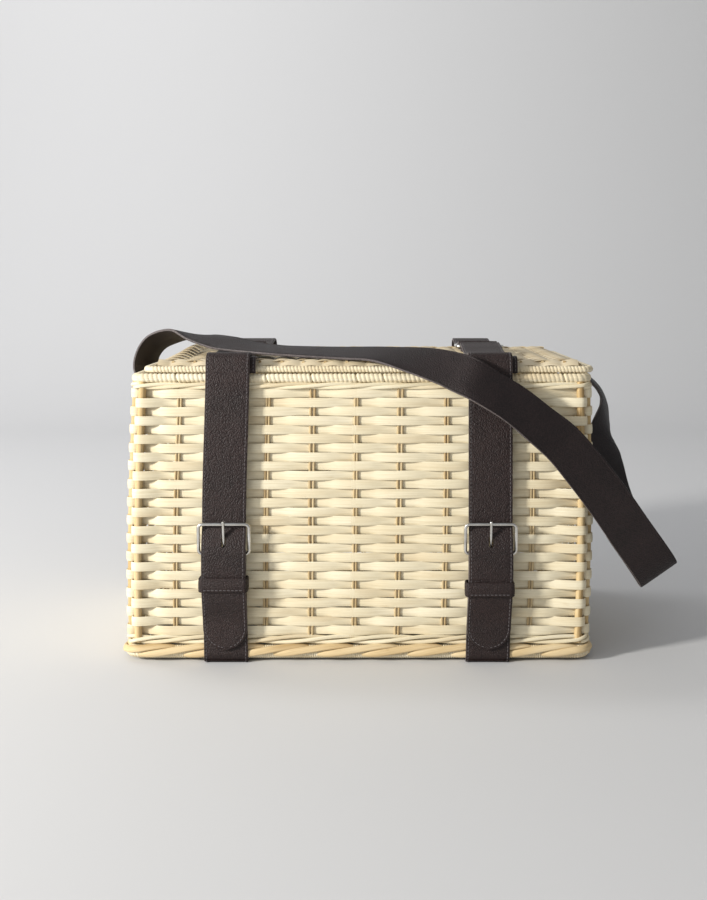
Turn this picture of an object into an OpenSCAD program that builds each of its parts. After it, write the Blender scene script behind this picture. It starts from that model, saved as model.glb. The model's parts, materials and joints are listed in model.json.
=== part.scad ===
// Lidded wicker basket held shut by two leather belts with roller-less wire buckles,
// with a leather shoulder strap between its end walls.
// +X to the right, +Y to the back, +Z up. Origin on the surface it stands on,
// under the middle of the woven body.

/* [Body] */
// Width of the woven body over its outer faces
body_w = 420; // [380:1:460]
// Depth of the woven body over its outer faces
body_d = 270; // [240:1:300]
// Height of the top of the rim above the surface
rim_top = 260; // [240:1:290]
// Outer radius of the body's upright corners
corner_r = 15; // [14:1:20]
// Thickness of one layer of weaving
weave_t = 1.5; // [1.2:0.1:2]
// Diameter of a wall stake
stake_dia = 3; // [2:0.1:3.2]
// Distance between the pairs of wall stakes
stake_pitch = 40; // [36:1:44]
// Diameter of the wrapped rim
rim_dia = 9; // [8:0.5:10]
// Height of the plaited foot border
foot_h = 15; // [12:1:18]

/* [Lid] */
// Width of the lid over its border
lid_w = 415; // [370:1:450]
// Depth of the lid over its border
lid_d = 266; // [236:1:296]
// Diameter of the wrapped lid border
lid_roll = 8; // [7.5:0.5:10]
// How far the lid sits to the right of the body's middle
lid_shift = 6.5; // [0:0.5:8]
// Thickness of the woven lid panel
lid_panel_t = 5; // [4:0.5:6]

/* [Belts] */
// Width of each belt
belt_w = 40; // [34:1:44]
// Thickness of the belt leather
belt_t = 2.6; // [2:0.1:3]
// Middle of the left belt
belt_left_x = -124; // [-130:1:-100]
// Middle of the right belt
belt_right_x = 117; // [100:1:130]
// Height of the buckle's heel bar above the surface
heel_z = 99; // [90:1:110]
// Height of the bottom of the strap keeper
keeper_z = 66; // [50:1:68]
// Height of the keeper band
keeper_h = 13; // [10:1:16]
// Height of the belt above the surface where it crosses the lid
belt_top_z = 280; // [279:0.5:284]

/* [Buckles] */
// Width of a buckle over its wire
buckle_w = 49; // [48:0.5:54]
// Height of a buckle over its wire
buckle_h = 31; // [29:0.5:34]
// Diameter of the buckle wire
wire_dia = 3.2; // [2.8:0.1:3.6]
// Diameter of the prong
prong_dia = 2.5; // [2:0.1:2.8]

/* [Shoulder strap] */
// Width of the shoulder strap
strap_w = 40; // [34:1:42]
// Height of the studs that the shoulder strap turns on
stud_z = 215; // [205:1:220]
// Diameter of each stud's shank
stud_dia = 6; // [5:0.5:8]

/* [Hidden] */
$fn = 48;

cane = [0.90, 0.83, 0.66];
cane_shade = [0.80, 0.68, 0.46];
leather = [0.20, 0.15, 0.15];
nickel = [0.78, 0.78, 0.76];

gap = 0.3;
pin_gap = 0.1;
half_w = body_w / 2;
half_d = body_d / 2;
wall_t = 2 * weave_t + stake_dia + 2 * gap;
wall_mid = wall_t / 2;
rim_z = rim_top - rim_dia / 2;
waling_h = 7;
waling_out = 1;
post_dia = 7;
foot_bottom = belt_t + gap;
foot_top = foot_bottom + foot_h;
weave_bottom = foot_top + waling_h;
weave_top = rim_top - rim_dia - waling_h;
foot_out = 3.5;
foot_in = 9;
foot_step = 3;
foot_step_h = 4;
base_z = 10;
base_t = 6;
batten_dia = 4;

// Lid: its border turns about the middle of its own rear roll.
roll_r = lid_roll / 2;
lid_z = rim_top + 0.5 + roll_r;
lid_x = lid_w / 2 - roll_r;
lid_y = lid_d / 2 - roll_r;
lid_corner = 10;
loop_r = roll_r + 2.5;
panel_z = lid_z + 4;
rib_dia = 4;
hinge_x = 60;
loop_w = 14;

// Belts: planes in front of and behind the body.
belt_y = half_d + foot_out + gap + belt_t / 2;
wire_r = wire_dia / 2;
eye_r = wire_r + pin_gap;
eye_out = eye_r + 2.2;
heel_y = -(belt_y + 1.5);
frame_h = buckle_h - wire_dia;
frame_w = buckle_w - wire_dia;
frame_tilt = 8;
ring_corner = 4;
eye_w = frame_w - 2 * ring_corner - gap;
billet_y = -(belt_y + 1);
billet_out_y = heel_y - eye_out - belt_t / 2 - gap;
fold_z = 274;
tip_z = 13;

// ---- helpers ----

// Points of an arc in the YZ plane, from angle a to angle b, in six steps.
function arc_points(c, r, a, b) = [for (i = [0:6]) c + r * [cos(a + (b - a) * i / 6), sin(a + (b - a) * i / 6)]];

// Unit direction of a path at point i, averaged over its two neighbours.
function path_dir(p, i) =
    let (d = p[min(i + 1, len(p) - 1)] - p[max(i - 1, 0)])
    d / norm(d);

// One side of a ribbon of thickness t along path p.
function ribbon_side(p, t) = [
    for (i = [0:len(p) - 1])
        let (d = path_dir(p, i))
        p[i] + t / 2 * [-d[1], d[0]]
];

function reversed(p) = [for (i = [len(p) - 1:-1:0]) p[i]];

// A flat band of width w, whose side view in YZ follows path p.
module ribbon(p, w, t) {
    rotate([90, 0, 90])
        translate([0, 0, -w / 2])
            linear_extrude(w)
                polygon(concat(ribbon_side(p, t), reversed(ribbon_side(p, -t))));
}

// A cylinder along X, centred on x = 0.
module rod_x(r, length) {
    rotate([0, 90, 0]) cylinder(r = r, h = length, center = true);
}

// A cylinder along Y, centred on y = 0.
module rod_y(r, length) {
    rotate([90, 0, 0]) cylinder(r = r, h = length, center = true);
}

// A rectangle with round corners, in the XY plane.
module round_rect(hw, hd, r) {
    union() {
        square([2 * hw, 2 * (hd - r)], center = true);
        square([2 * (hw - r), 2 * hd], center = true);
        for (sx = [-1, 1])
            for (sy = [-1, 1])
                translate([sx * (hw - r), sy * (hd - r)]) circle(r = r);
    }
}

// An upright band round the body: its outer face stands off by "out" and it is t thick.
module band(out, t, z, h) {
    translate([0, 0, z])
        linear_extrude(h)
            difference() {
                round_rect(half_w + out, half_d + out, corner_r + out);
                round_rect(half_w + out - t, half_d + out - t, max(corner_r + out - t, 1));
            }
}

// A round bar bent to a rectangle with round corners, lying in the XY plane.
module bent_bar(hw, hd, r, bar_r) {
    union() {
        for (s = [-1, 1]) {
            translate([0, s * hd, 0]) rod_x(bar_r, 2 * (hw - r));
            translate([s * hw, 0, 0]) rod_y(bar_r, 2 * (hd - r));
        }
        for (i = [0:3]) {
            sx = (i == 0 || i == 3) ? 1 : -1;
            sy = (i < 2) ? 1 : -1;
            translate([sx * (hw - r), sy * (hd - r), 0])
                rotate([0, 0, 90 * i])
                    rotate_extrude(angle = 90) translate([r, 0]) circle(r = bar_r);
        }
    }
}

// ---- woven body ----

module base_weave() {
    color(cane)
        translate([0, 0, base_z])
            linear_extrude(base_t)
                round_rect(half_w - foot_in - 1, half_d - foot_in - 1, 6);
}

module base_battens() {
    color(cane_shade)
        for (x = [-180, -60, 60, 180])
            translate([x, 0, base_z - batten_dia / 2]) rod_y(batten_dia / 2, body_d - 2 * foot_in - 6);
}

module outer_weavers() {
    color(cane) band(0, weave_t, weave_bottom, weave_top - weave_bottom);
}

module inner_weavers() {
    color(cane) band(weave_t - wall_t, weave_t, weave_bottom, weave_top - weave_bottom);
}

// One pair of thin rods, standing between the two layers of weaving.
module stake_pair() {
    for (s = [-1, 1])
        translate([s * (stake_dia / 2 + gap), 0, weave_bottom])
            cylinder(d = stake_dia, h = weave_top - weave_bottom);
}

module side_stakes() {
    stakes_x = floor((half_w - 30) / stake_pitch);
    stakes_y = floor((half_d - 30) / stake_pitch);
    color(cane_shade)
        for (s = [-1, 1]) {
            for (i = [-stakes_x:stakes_x])
                translate([i * stake_pitch, s * (half_d - wall_mid), 0]) stake_pair();
            for (i = [-stakes_y:stakes_y])
                translate([s * (half_w - wall_mid), i * stake_pitch, 0]) rotate([0, 0, 90]) stake_pair();
        }
}

// Two stout posts inside each corner of the wall, from the foot border to the rim.
module corner_posts() {
    near = wall_t + waling_out + gap + post_dia / 2;
    far = near + (post_dia + gap) * sqrt(0.5);
    post_bottom = foot_top + gap;
    color(cane_shade)
        for (sx = [-1, 1])
            for (sy = [-1, 1])
                for (inset = [[near, far], [far, near]])
                    translate([sx * (half_w - inset[0]), sy * (half_d - inset[1]), post_bottom])
                        cylinder(d = post_dia, h = rim_top - rim_dia - gap - post_bottom);
}

module lower_waling() {
    color(cane) band(waling_out, wall_t + 2 * waling_out, foot_top, waling_h);
}

module upper_waling() {
    color(cane) band(waling_out, wall_t + 2 * waling_out, weave_top, waling_h);
}

// The plaited foot: its lower edge is set back, where the round plait turns under.
module foot_border() {
    low_out = foot_out - foot_step;
    color(cane_shade)
        union() {
            band(low_out, foot_in + low_out, foot_bottom, foot_step_h);
            band(foot_out, foot_in + foot_out, foot_bottom + foot_step_h, foot_h - foot_step_h);
        }
}

module rim_border() {
    color(cane)
        translate([0, 0, rim_z])
            bent_bar(half_w - wall_mid, half_d - wall_mid, corner_r - wall_mid, rim_dia / 2);
}

// ---- lid ----

// A leather ring round the lid's rear roll, joined to a ring round the rim below it.
module hinge_loop(x) {
    rim_y = half_d - wall_mid;
    color(leather)
        translate([x, 0, 0])
            difference() {
                union() {
                    translate([0, lid_y, lid_z]) rod_x(loop_r, loop_w);
                    translate([0, rim_y, rim_z]) rod_x(rim_dia / 2 + 2.5, loop_w);
                }
                translate([0, lid_y, lid_z]) rod_x(roll_r + pin_gap, loop_w + 1);
                translate([0, rim_y, rim_z]) rod_x(rim_dia / 2 + pin_gap, loop_w + 1);
                translate([-loop_w, 0, rim_z - 20]) cube([2 * loop_w, half_d + 1 + gap, 20 - rim_dia / 2 + gap]);
            }
}

module left_hinge_loop() { hinge_loop(-hinge_x); }
module right_hinge_loop() { hinge_loop(hinge_x); }

module lid_border() {
    color(cane)
        translate([lid_shift, 0, lid_z])
            bent_bar(lid_x, lid_y, lid_corner, roll_r);
}

module lid_weave() {
    inset = loop_r + gap;
    color(cane)
        translate([lid_shift, 0, panel_z])
            linear_extrude(lid_panel_t)
                round_rect(lid_x - inset, lid_y - inset, 4);
}

module lid_ribs() {
    ribs = floor((lid_x - 30) / stake_pitch);
    color(cane_shade)
        for (i = [-ribs:ribs])
            translate([lid_shift + i * stake_pitch, 0, panel_z - rib_dia / 2])
                rod_y(rib_dia / 2, 2 * (lid_y - loop_r - gap));
}

// A rectangular wire link that joins the front and rear parts of a belt on the lid.
module lid_ring(x) {
    color(nickel)
        translate([x, 0, belt_top_z])
            bent_bar(frame_w / 2, frame_h / 2, ring_corner, wire_r);
}

module left_lid_ring() { lid_ring(belt_left_x); }
module right_lid_ring() { lid_ring(belt_right_x); }

// The part of a belt from the link to the lid's rear edge (side 1) or front edge (side -1).
module lid_strap(x, side) {
    bar_y = frame_h / 2;
    path = [
        [bar_y + eye_out - 1, belt_top_z],
        [lid_y - 6, belt_top_z],
        [lid_y, belt_top_z - 0.7],
        [lid_y + (side > 0 ? 3 : 9), belt_top_z - (side > 0 ? 1.6 : 2.2)]
    ];
    color(leather)
        translate([x, 0, 0])
            mirror([0, side > 0 ? 0 : 1, 0])
                difference() {
                    union() {
                        ribbon(path, belt_w, belt_t);
                        translate([0, bar_y, belt_top_z]) rod_x(eye_out, eye_w);
                    }
                    translate([0, bar_y, belt_top_z]) rod_x(eye_r, belt_w + 1);
                }
}

module left_front_lid_strap() { lid_strap(belt_left_x, -1); }
module left_rear_lid_strap() { lid_strap(belt_left_x, 1); }
module right_front_lid_strap() { lid_strap(belt_right_x, -1); }
module right_rear_lid_strap() { lid_strap(belt_right_x, 1); }

// A leather saddle over the lid's front roll, under the belt.
module lid_saddle(x) {
    color(leather)
        translate([x + 2, -lid_y, lid_z])
            difference() {
                rod_x(loop_r, belt_w + 4);
                rod_x(roll_r + pin_gap, belt_w + 5);
                translate([-belt_w, -2 * loop_r, -2 * loop_r]) cube([2 * belt_w, 4 * loop_r, 2 * loop_r - 4]);
            }
}

module left_lid_saddle() { lid_saddle(belt_left_x); }
module right_lid_saddle() { lid_saddle(belt_right_x); }

// ---- belts on the body ----

// Buckle end, run under the base and run up the back.
module belt(x) {
    r = 4;
    path = concat(
        [[-belt_y, heel_z - 2]],
        arc_points([-belt_y + r, r + belt_t / 2], r, 180, 270),
        arc_points([belt_y - r, r + belt_t / 2], r, -90, 0),
        [[belt_y, rim_z + 1]]
    );
    color(leather)
        translate([x, 0, 0])
            difference() {
                union() {
                    ribbon(path, belt_w, belt_t);
                    translate([0, heel_y, heel_z]) rod_x(eye_out, eye_w);
                }
                translate([0, heel_y, heel_z]) rod_x(eye_r, belt_w + 1);
                translate([-4, heel_y - 10, heel_z - 6]) cube([8, 20, 16]);
            }
}

module left_belt() { belt(belt_left_x); }
module right_belt() { belt(belt_right_x); }

// A closed leather band round the buckle end and the billet.
module keeper(x) {
    t = 2;
    y_out = billet_out_y - belt_t / 2 - gap;
    y_in = -belt_y + belt_t / 2 + gap;
    inner_w = belt_w + 2 * gap;
    color(leather)
        translate([x, 0, keeper_z])
            difference() {
                translate([-inner_w / 2 - t, y_out - t, 0]) cube([inner_w + 2 * t, y_in - y_out + t + 1.6, keeper_h]);
                translate([-inner_w / 2, y_out, -1]) cube([inner_w, y_in - y_out, keeper_h + 2]);
            }
}

module left_keeper() { keeper(belt_left_x); }
module right_keeper() { keeper(belt_right_x); }

// The loose front end of a belt, from the lid's front edge down through the buckle to its tip.
module billet(x) {
    path = [
        [billet_y, fold_z],
        [billet_y, heel_z + 26],
        [billet_y - 0.6, heel_z + 22],
        [billet_out_y + 1, heel_z + 8],
        [billet_out_y, heel_z + 3],
        [billet_out_y, keeper_z - 6],
        [-belt_y - belt_t - gap, keeper_z - 26],
        [-belt_y - belt_t - gap, tip_z]
    ];
    tip_r = belt_w / 2;
    hole_r = 2.6;
    slot_low = heel_z + 8;
    slot_high = heel_z + 16;
    color(leather)
        translate([x, 0, 0])
            difference() {
                union() {
                    ribbon(path, belt_w, belt_t);
                    translate([0, billet_y, fold_z]) rod_x(belt_t / 2, belt_w);
                }
                difference() {
                    translate([-belt_w, -belt_y - 20, tip_z - 1]) cube([2 * belt_w, 30, tip_r + 1]);
                    translate([0, -belt_y - 5, tip_z + tip_r]) rod_y(tip_r, 31);
                }
                for (z = [slot_low, slot_high])
                    translate([0, -belt_y, z]) rod_y(hole_r, 40);
                translate([-hole_r, -belt_y - 20, slot_low]) cube([2 * hole_r, 40, slot_high - slot_low]);
            }
}

module left_billet() { billet(belt_left_x); }
module right_billet() { billet(belt_right_x); }

// ---- buckles ----

// Moves its children from the XY plane to the buckle: their heel bar on the heel's axis.
module at_buckle(x) {
    translate([x, heel_y, heel_z])
        rotate([90 + frame_tilt, 0, 0])
            children();
}

module buckle(x) {
    color(nickel)
        at_buckle(x)
            translate([0, frame_h / 2, 0])
                bent_bar(frame_w / 2, frame_h / 2, ring_corner, wire_r);
}

module left_buckle() { buckle(belt_left_x); }
module right_buckle() { buckle(belt_right_x); }

module prong(x) {
    prong_r = prong_dia / 2;
    lift = wire_r + prong_r + gap;
    lean = asin(lift / frame_h);
    color(nickel)
        at_buckle(x)
            rotate([lean, 0, 0])
                difference() {
                    union() {
                        rod_x(eye_out - 0.4, 5);
                        rotate([-90, 0, 0]) cylinder(r = prong_r, h = frame_h + 3);
                        translate([0, frame_h + 3, 0]) sphere(r = prong_r);
                    }
                    rod_x(eye_r, 6);
                }
}

module left_prong() { prong(belt_left_x); }
module right_prong() { prong(belt_right_x); }

// ---- shoulder strap ----

stud_r = stud_dia / 2;
end_in = half_w + foot_out - 0.5;
end_mid = end_in + belt_t / 2;
end_top = stud_z + 22;

// The strap's route: [middle, direction across it towards the back edge].
STRAP_ROUTE = [
    [[-214.5, 0, 238], [0, 1, 0]],
    [[-218, 0, 247], [0.2, 1, 0]],
    [[-222, 0, 256], [0.42, 0.9, 0]],
    [[-221.5, -1.5, 267], [0.43, 0.9, -0.05]],
    [[-215.5, -5, 278], [0.38, 0.88, -0.2]],
    [[-206, -10, 286], [0.33, 0.88, -0.3]],
    [[-192, -18, 291.5], [0.3, 0.88, -0.28]],
    [[-177.5, -28, 293.5], [0.3, 0.9, -0.18]],
    [[-162, -40, 292.5], [0.35, 0.9, 0]],
    [[-137.5, -58, 288.5], [0.3, 0.93, 0.12]],
    [[-106, -76, 287.4], [0.3, 0.93, 0.14]],
    [[-82, -86, 283.7], [0.25, 0.93, 0.15]],
    [[-58, -93, 280.8], [0.2, 0.95, 0.16]],
    [[-20, -103, 278.8], [0.15, 0.95, 0.17]],
    [[18, -115, 278], [0.1, 0.95, 0.26]],
    [[53, -133, 273.2], [0, 0.83, 0.52]],
    [[80, -148.2, 266.6], [0.04, 0.7, 0.71]],
    [[98, -158.6, 259.3], [0.1, 0.56, 0.82]],
    [[116, -162.5, 249], [0.25, 0.56, 0.78]],
    [[137, -162.5, 236], [0.45, 0.52, 0.7]],
    [[160, -163, 217.5], [0.6, 0.45, 0.62]],
    [[180, -162, 200.5], [0.7, 0.3, 0.6]],
    [[200, -160, 177], [0.78, 0.2, 0.56]],
    [[220, -157, 151], [0.82, 0.12, 0.55]],
    [[241, -153, 121], [0.82, 0.06, 0.56]],
    [[259, -148, 96], [0.82, 0.02, 0.57]],
    [[268, -141, 83], [0.82, 0, 0.57]],
    [[270, -132, 79], [0.82, 0, 0.57]],
    [[267, -124, 84], [0.82, 0.02, 0.57]],
    [[258, -115, 98], [0.82, 0.06, 0.56]],
    [[246, -104, 116], [0.82, 0.15, 0.55]],
    [[239, -92, 132], [0.8, 0.3, 0.53]],
    [[235, -78, 150], [0.76, 0.45, 0.48]],
    [[234, -62, 168], [0.72, 0.55, 0.42]],
    [[236, -47, 184], [0.6, 0.7, 0.3]],
    [[239.5, -31, 199], [0.42, 0.85, 0.2]],
    [[243, -16, 213], [0.28, 0.92, 0.1]],
    [[243, -6, 226], [0.22, 0.95, 0.05]],
    [[238, -1, 238], [0.2, 0.97, 0]],
    [[228, 0, 246.5], [0.2, 1, 0]],
    [[219, 0, 245], [0.1, 1, 0]],
    [[214.5, 0, 238], [0, 1, 0]]
];

// Corner k of the band's cross-section at station i, square to the route there.
function strap_corner(i, k) =
    let (
        last = len(STRAP_ROUTE) - 1,
        run = STRAP_ROUTE[min(i + 1, last)][0] - STRAP_ROUTE[max(i - 1, 0)][0],
        along = run / norm(run),
        lean = STRAP_ROUTE[i][1],
        square = lean - (lean * along) * along,
        across = square / norm(square),
        up = cross(along, across),
        side = (k == 0 || k == 3) ? -1 : 1,
        face = (k < 2) ? -1 : 1
    )
    STRAP_ROUTE[i][0] + side * strap_w / 2 * across + face * belt_t / 2 * up;

module shoulder_strap() {
    last = len(STRAP_ROUTE) - 1;
    color(leather)
        polyhedron(
            points = [for (i = [0:last]) for (k = [0:3]) strap_corner(i, k)],
            faces = concat(
                [[0, 1, 2, 3]],
                [for (i = [0:last - 1]) for (k = [0:3])
                    for (h = [0, 1])
                        h == 0
                            ? [4 * i + k, 4 * (i + 1) + k, 4 * (i + 1) + (k + 1) % 4]
                            : [4 * i + k, 4 * (i + 1) + (k + 1) % 4, 4 * i + (k + 1) % 4]],
                [[4 * last + 3, 4 * last + 2, 4 * last + 1, 4 * last]]
            )
        );
}

// A round-ended leather plate, sewn to the strap, that turns on the stud of one end wall.
module strap_end(side) {
    color(leather)
        translate([side * end_mid, 0, 0])
            difference() {
                union() {
                    translate([0, 0, stud_z]) rod_x(strap_w / 2, belt_t);
                    translate([-belt_t / 2, -strap_w / 2, stud_z]) cube([belt_t, strap_w, end_top - stud_z]);
                }
                translate([0, 0, stud_z]) rod_x(stud_r + pin_gap, belt_t + 1);
            }
}

module left_strap_end() { strap_end(-1); }
module right_strap_end() { strap_end(1); }

module strap_studs() {
    color(nickel)
        for (side = [-1, 1])
            translate([side * half_w, 0, stud_z])
                rotate([0, side * 90, 0])
                    union() {
                        cylinder(r = stud_r + 3, h = end_in - half_w - gap);
                        cylinder(r = stud_r, h = end_in - half_w + belt_t + gap);
                        translate([0, 0, end_in - half_w + belt_t + gap]) cylinder(r = stud_r + 2.5, h = 2);
                    }
}

base_weave();
base_battens();
outer_weavers();
inner_weavers();
side_stakes();
corner_posts();
lower_waling();
upper_waling();
foot_border();
rim_border();
left_belt();
right_belt();
left_keeper();
right_keeper();
left_hinge_loop();
right_hinge_loop();
strap_studs();
lid_border();
lid_weave();
lid_ribs();
left_front_lid_strap();
left_rear_lid_strap();
left_lid_ring();
left_lid_saddle();
right_front_lid_strap();
right_rear_lid_strap();
right_lid_ring();
right_lid_saddle();
left_billet();
right_billet();
left_buckle();
right_buckle();
left_prong();
right_prong();
shoulder_strap();
left_strap_end();
right_strap_end();
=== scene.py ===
import json
import math

import bmesh
import bpy
import numpy as np
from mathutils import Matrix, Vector


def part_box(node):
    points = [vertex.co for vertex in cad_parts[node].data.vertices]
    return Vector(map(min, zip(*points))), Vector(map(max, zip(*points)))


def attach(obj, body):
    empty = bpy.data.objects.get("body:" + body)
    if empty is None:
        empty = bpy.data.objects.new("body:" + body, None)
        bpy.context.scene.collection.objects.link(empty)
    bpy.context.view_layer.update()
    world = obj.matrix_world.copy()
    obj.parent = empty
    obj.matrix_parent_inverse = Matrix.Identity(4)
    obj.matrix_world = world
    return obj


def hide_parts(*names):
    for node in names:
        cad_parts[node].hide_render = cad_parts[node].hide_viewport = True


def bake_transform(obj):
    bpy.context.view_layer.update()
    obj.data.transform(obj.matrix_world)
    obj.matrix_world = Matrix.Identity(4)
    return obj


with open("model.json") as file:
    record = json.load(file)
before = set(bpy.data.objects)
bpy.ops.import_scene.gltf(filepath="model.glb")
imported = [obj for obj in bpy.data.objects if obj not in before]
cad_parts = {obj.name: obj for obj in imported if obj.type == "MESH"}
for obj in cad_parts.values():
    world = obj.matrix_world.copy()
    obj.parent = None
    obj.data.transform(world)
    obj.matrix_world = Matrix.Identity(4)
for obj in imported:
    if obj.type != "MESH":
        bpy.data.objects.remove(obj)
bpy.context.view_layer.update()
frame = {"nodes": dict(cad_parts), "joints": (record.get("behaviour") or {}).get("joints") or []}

MM = 0.001
RNG = np.random.default_rng(20)
TAU = 2 * math.pi
UP = np.array([0, 0, 1.0])
ACROSS_X = np.array([1.0, 0, 0])
JOINTS = {joint["name"]: joint for joint in frame["joints"]}
SIDES = ("left", "right")

# ---- sizes, from the frame ----

WALL_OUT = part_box("outer_weavers")[1]
WALL_HALF = 3.3 * MM                    # half the wall's thickness
HALF_X = WALL_OUT.x - WALL_HALF         # middle of the wall's thickness, end walls
HALF_Y = WALL_OUT.y - WALL_HALF         # middle of the wall's thickness, long walls
CORNER = 7 * MM                         # corner radius of that middle line
WEAVE_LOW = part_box("outer_weavers")[0].z - 1.4 * MM
WEAVE_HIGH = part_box("outer_weavers")[1].z + 3.5 * MM
ROWS = 27
ROW_PITCH = (WEAVE_HIGH - WEAVE_LOW) / ROWS
STAKE_PITCH = 40 * MM
LONG_STAKES = 4                         # stakes each side of the middle one on a long wall
END_STAKES = 2                          # the same on an end wall
POST_X = 199.5 * MM                     # posts beside the corners, on the long walls
POST_Y = 123.5 * MM                     # posts beside the corners, on the end walls
POSTS = (5, 6, 12, 13, 23, 24, 30, 31)  # the corner posts' numbers among the stakes
POST_R = 3.4 * MM
ROD_R = 1.08 * MM
ROD_GAP = 1.4 * MM                      # from the middle of a pair of rods to each rod
POST_SWING = 4.1 * MM                   # how far a strip stands off the middle line at a post
STAKE_SWING = 1.65 * MM                 # the same at a pair of rods
STRIP_T = 1.1 * MM
BASE_SHIFT = 3.4 * MM                   # how far the body's foot stands to the left
END_BULGE = 2.6 * MM                    # how far the end walls are filled out at mid height

RIM_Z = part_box("rim_border")[0].z + 6.1 * MM
LID_LOW, LID_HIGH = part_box("lid_border")
LID_X = (LID_LOW.x + LID_HIGH.x) / 2
LID_Z = JOINTS["lid_hinge"]["pos_m"][2]
LID_Y = JOINTS["lid_hinge"]["pos_m"][1]
LID_ROLL_Z = LID_Z + 0.4 * MM
PANEL_LOW, PANEL_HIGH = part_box("lid_weave")
PANEL_Z = (PANEL_LOW.z + PANEL_HIGH.z) / 2
BASE_LOW, BASE_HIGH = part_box("base_weave")
PANEL_STRIP = 8.6 * MM                  # about how far apart the strips of the lid and the base are
LID_RIBS = 20 * MM
BASE_RIBS = 40 * MM
BELT_LOW, BELT_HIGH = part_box("left_belt")
BELT_W = BELT_HIGH.x - BELT_LOW.x
BELT_T = 2.6 * MM
BELT_Y = BELT_HIGH.y - BELT_T / 2
BELT_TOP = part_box("left_lid_ring")[0].z + 1.6 * MM
HEEL = Vector(JOINTS["left_buckle_tilt"]["pos_m"])
FOLD = Vector(JOINTS["left_billet_swing"]["pos_m"])


# ---- mesh making ----

def new_object(name, verts, faces, materials=()):
    mesh = bpy.data.meshes.new(name)
    mesh.from_pydata(verts, [], faces)
    for material in materials:
        mesh.materials.append(material)
    piece = bpy.data.objects.new(name, mesh)
    bpy.context.scene.collection.objects.link(piece)
    return piece


class Mesh:
    """Gathers swept forms into one mesh. Each vertex keeps "run": its place along and across its strand,
    and the strand's own number, which the cane material uses for fibres and colour."""

    def __init__(self):
        self.verts = []
        self.faces = []
        self.runs = []
        self.slots = []
        self.count = 0

    def sweep(self, path, side, up, section, closed, strand=0.0, slot=0, rims=()):
        """Sweeps a closed section, K points of (side, up), along path. side and up are unit vectors for
        each path point, and section may be one outline or one for each path point. rims are the outline's
        edges that take the third material."""
        path = np.asarray(path, float)
        n = len(path)
        side = np.broadcast_to(np.asarray(side, float), (n, 3))
        up = np.broadcast_to(np.asarray(up, float), (n, 3))
        section = np.asarray(section, float)
        if section.ndim == 2:
            section = np.broadcast_to(section, (n,) + section.shape)
        k = section.shape[1]
        rings = path[:, None, :] + section[:, :, :1] * side[:, None, :] + section[:, :, 1:] * up[:, None, :]
        along = distances(path)
        edge = np.linalg.norm(np.diff(np.concatenate([section, section[:, :1]], axis=1), axis=1), axis=2)
        across = np.concatenate([np.zeros((n, 1)), np.cumsum(edge, axis=1)[:, :-1]], axis=1)
        run = np.stack([np.repeat(along[:, None], k, axis=1), across, np.full((n, k), strand)], axis=2)
        base = self.count
        ring = np.arange(n if closed else n - 1)
        a = base + ring[:, None] * k + np.arange(k)[None, :]
        b = base + ring[:, None] * k + (np.arange(k)[None, :] + 1) % k
        c = base + ((ring[:, None] + 1) % n) * k + (np.arange(k)[None, :] + 1) % k
        d = base + ((ring[:, None] + 1) % n) * k + np.arange(k)[None, :]
        quads = np.stack([a, b, c, d], axis=2).reshape(-1, 4).tolist()
        self.faces.extend(quads)
        column = [2 if j in rims else slot for j in range(k)]
        self.slots.extend(column * len(ring))
        if not closed:
            self.faces.append(list(range(base + k - 1, base - 1, -1)))
            self.faces.append(list(range(base + (n - 1) * k, base + n * k)))
            self.slots.extend([slot, slot])
        self.verts.append(rings.reshape(-1, 3))
        self.runs.append(run.reshape(-1, 3))
        self.count += n * k

    def finish(self, name, materials, crease=40):
        """Makes the object, with its faces turned outwards and edges sharper than crease left sharp."""
        piece = new_object(name, np.concatenate(self.verts).tolist(), self.faces, materials)
        mesh = piece.data
        mesh.polygons.foreach_set("material_index", self.slots)
        attribute = mesh.attributes.new("run", "FLOAT_VECTOR", "POINT")
        attribute.data.foreach_set("vector", np.concatenate(self.runs).astype(np.float32).ravel())
        mesh.polygons.foreach_set("use_smooth", [True] * len(mesh.polygons))
        mesh.validate()
        mesh.update()
        outwards(piece)
        mesh.set_sharp_from_angle(angle=math.radians(crease))
        return piece


def outwards(piece):
    """Turns every closed shell's faces outwards."""
    work = bmesh.new()
    work.from_mesh(piece.data)
    bmesh.ops.recalc_face_normals(work, faces=work.faces)
    work.to_mesh(piece.data)
    work.free()


def distances(path):
    """The distance along path to each of its points."""
    return np.concatenate([[0.0], np.cumsum(np.linalg.norm(np.diff(path, axis=0), axis=1))])


def resample(at, places, values):
    """Each column of values, known at places, read off at other places."""
    return np.stack([np.interp(at, places, column) for column in values.T], axis=1)


def circle(radius, points=8, squash=1.0):
    angle = np.arange(points) * TAU / points
    return np.stack([radius * np.cos(angle), radius * squash * np.sin(angle)], axis=1)


def strip_section(width, thick):
    """A split-cane strip: flat inside, crowned outside, with soft edges. (out, along the wall's height)."""
    w = width / 2
    t = thick / 2
    return np.array([
        [t * 0.3, -w], [t * 0.85, -w * 0.72], [t * 1.1, 0], [t * 0.85, w * 0.72], [t * 0.3, w],
        [-t * 0.8, w * 0.94], [-t, 0], [-t * 0.8, -w * 0.94]])


def unit(v):
    return v / np.linalg.norm(v, axis=-1, keepdims=True)


def tangents(path, closed=False):
    if closed:
        return unit(np.roll(path, -1, axis=0) - np.roll(path, 1, axis=0))
    return unit(np.gradient(path, axis=0))


def wander(s, length, size, waves=(1, 2, 3, 5, 8)):
    """A smooth random offset that closes on itself after length."""
    out = np.zeros_like(s)
    for wave in waves:
        out += np.sin(TAU * wave * s / length + RNG.uniform(0, TAU)) / math.sqrt(wave)
    return out * size / 2


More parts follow.
